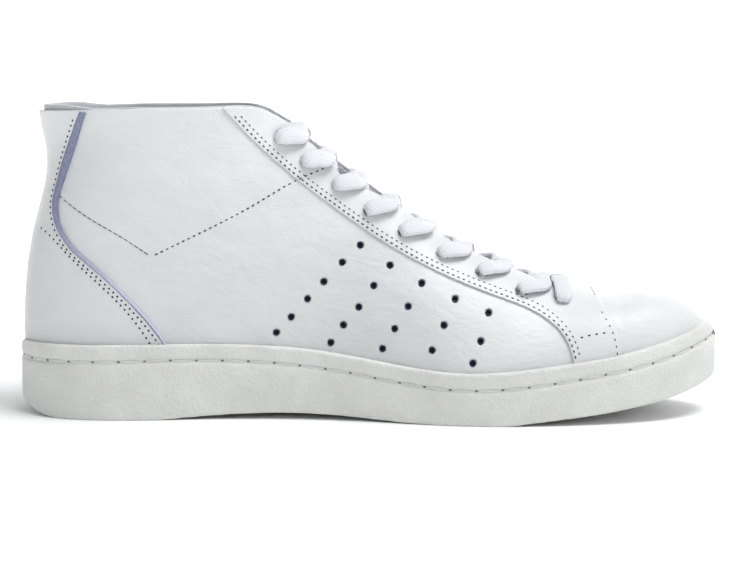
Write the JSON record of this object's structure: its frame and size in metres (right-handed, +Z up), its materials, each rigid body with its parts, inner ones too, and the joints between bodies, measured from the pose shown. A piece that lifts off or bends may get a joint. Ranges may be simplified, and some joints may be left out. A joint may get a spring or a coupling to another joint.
{
  "type": "basketball high top",
  "caption": "White leather lace-up high top on a stitched rubber cup sole, with perforated sides, a rolled collar and a tongue that swings inward.",
  "frame": {"origin": "middle of the sole's footprint box, on the ground", "axes": "+X towards the toe, +Z up, -Y the medial side of this left shoe"},
  "size_m": [0.2972, 0.1061, 0.1307],
  "materials": {
    "leather_white": "satin full grain",
    "leather_edge_blue": "matte dyed edge",
    "lining_grey": "matte knit",
    "foam": "open cell foam",
    "stiffener": "matte sheet",
    "board": "pressed fibre board",
    "rubber_white": "matte fine texture",
    "thread_white": "twisted thread",
    "lace_white": "flat woven",
    "aglet_clear": "gloss film"
  },
  "bodies": {
    "shoe": {"cupsole": "rubber_white", "sidewall_stitching": "thread_white", "foam_filler": "foam", "insole_board": "board", "sock_liner": "lining_grey", "vamp": "leather_white", "quarter_medial": "leather_white", "quarter_lateral": "leather_white", "eyestay": "leather_white", "heel_overlay": "leather_white", "heel_piping_medial": "leather_edge_blue", "heel_piping_lateral": "leather_edge_blue", "toe_puff": "stiffener", "heel_stiffener": "stiffener", "eyelet_reinforcement_medial": "stiffener", "eyelet_reinforcement_lateral": "stiffener", "ankle_pad_medial": "foam", "ankle_pad_lateral": "foam", "vamp_lining": "lining_grey", "quarter_lining_medial": "lining_grey", "quarter_lining_lateral": "lining_grey", "collar_roll": "lining_grey", "shoelace": "lace_white", "lace_tail_medial": "lace_white", "lace_tail_lateral": "lace_white", "aglet_medial": "aglet_clear", "aglet_lateral": "aglet_clear"},
    "tongue": {"tongue": "leather_white", "tongue_padding": "foam", "tongue_lining": "lining_grey"}
  },
  "joints": [
    {"name": "tongue_swing", "type": "hinge", "parent": "shoe", "child": "tongue", "pos_m": [0.072, 0, 0.045], "axis": [0, -1, 0], "range_deg": [0, 10], "stiffness_Nm_per_rad": 0.6, "springref_deg": -5.73}
  ]
}
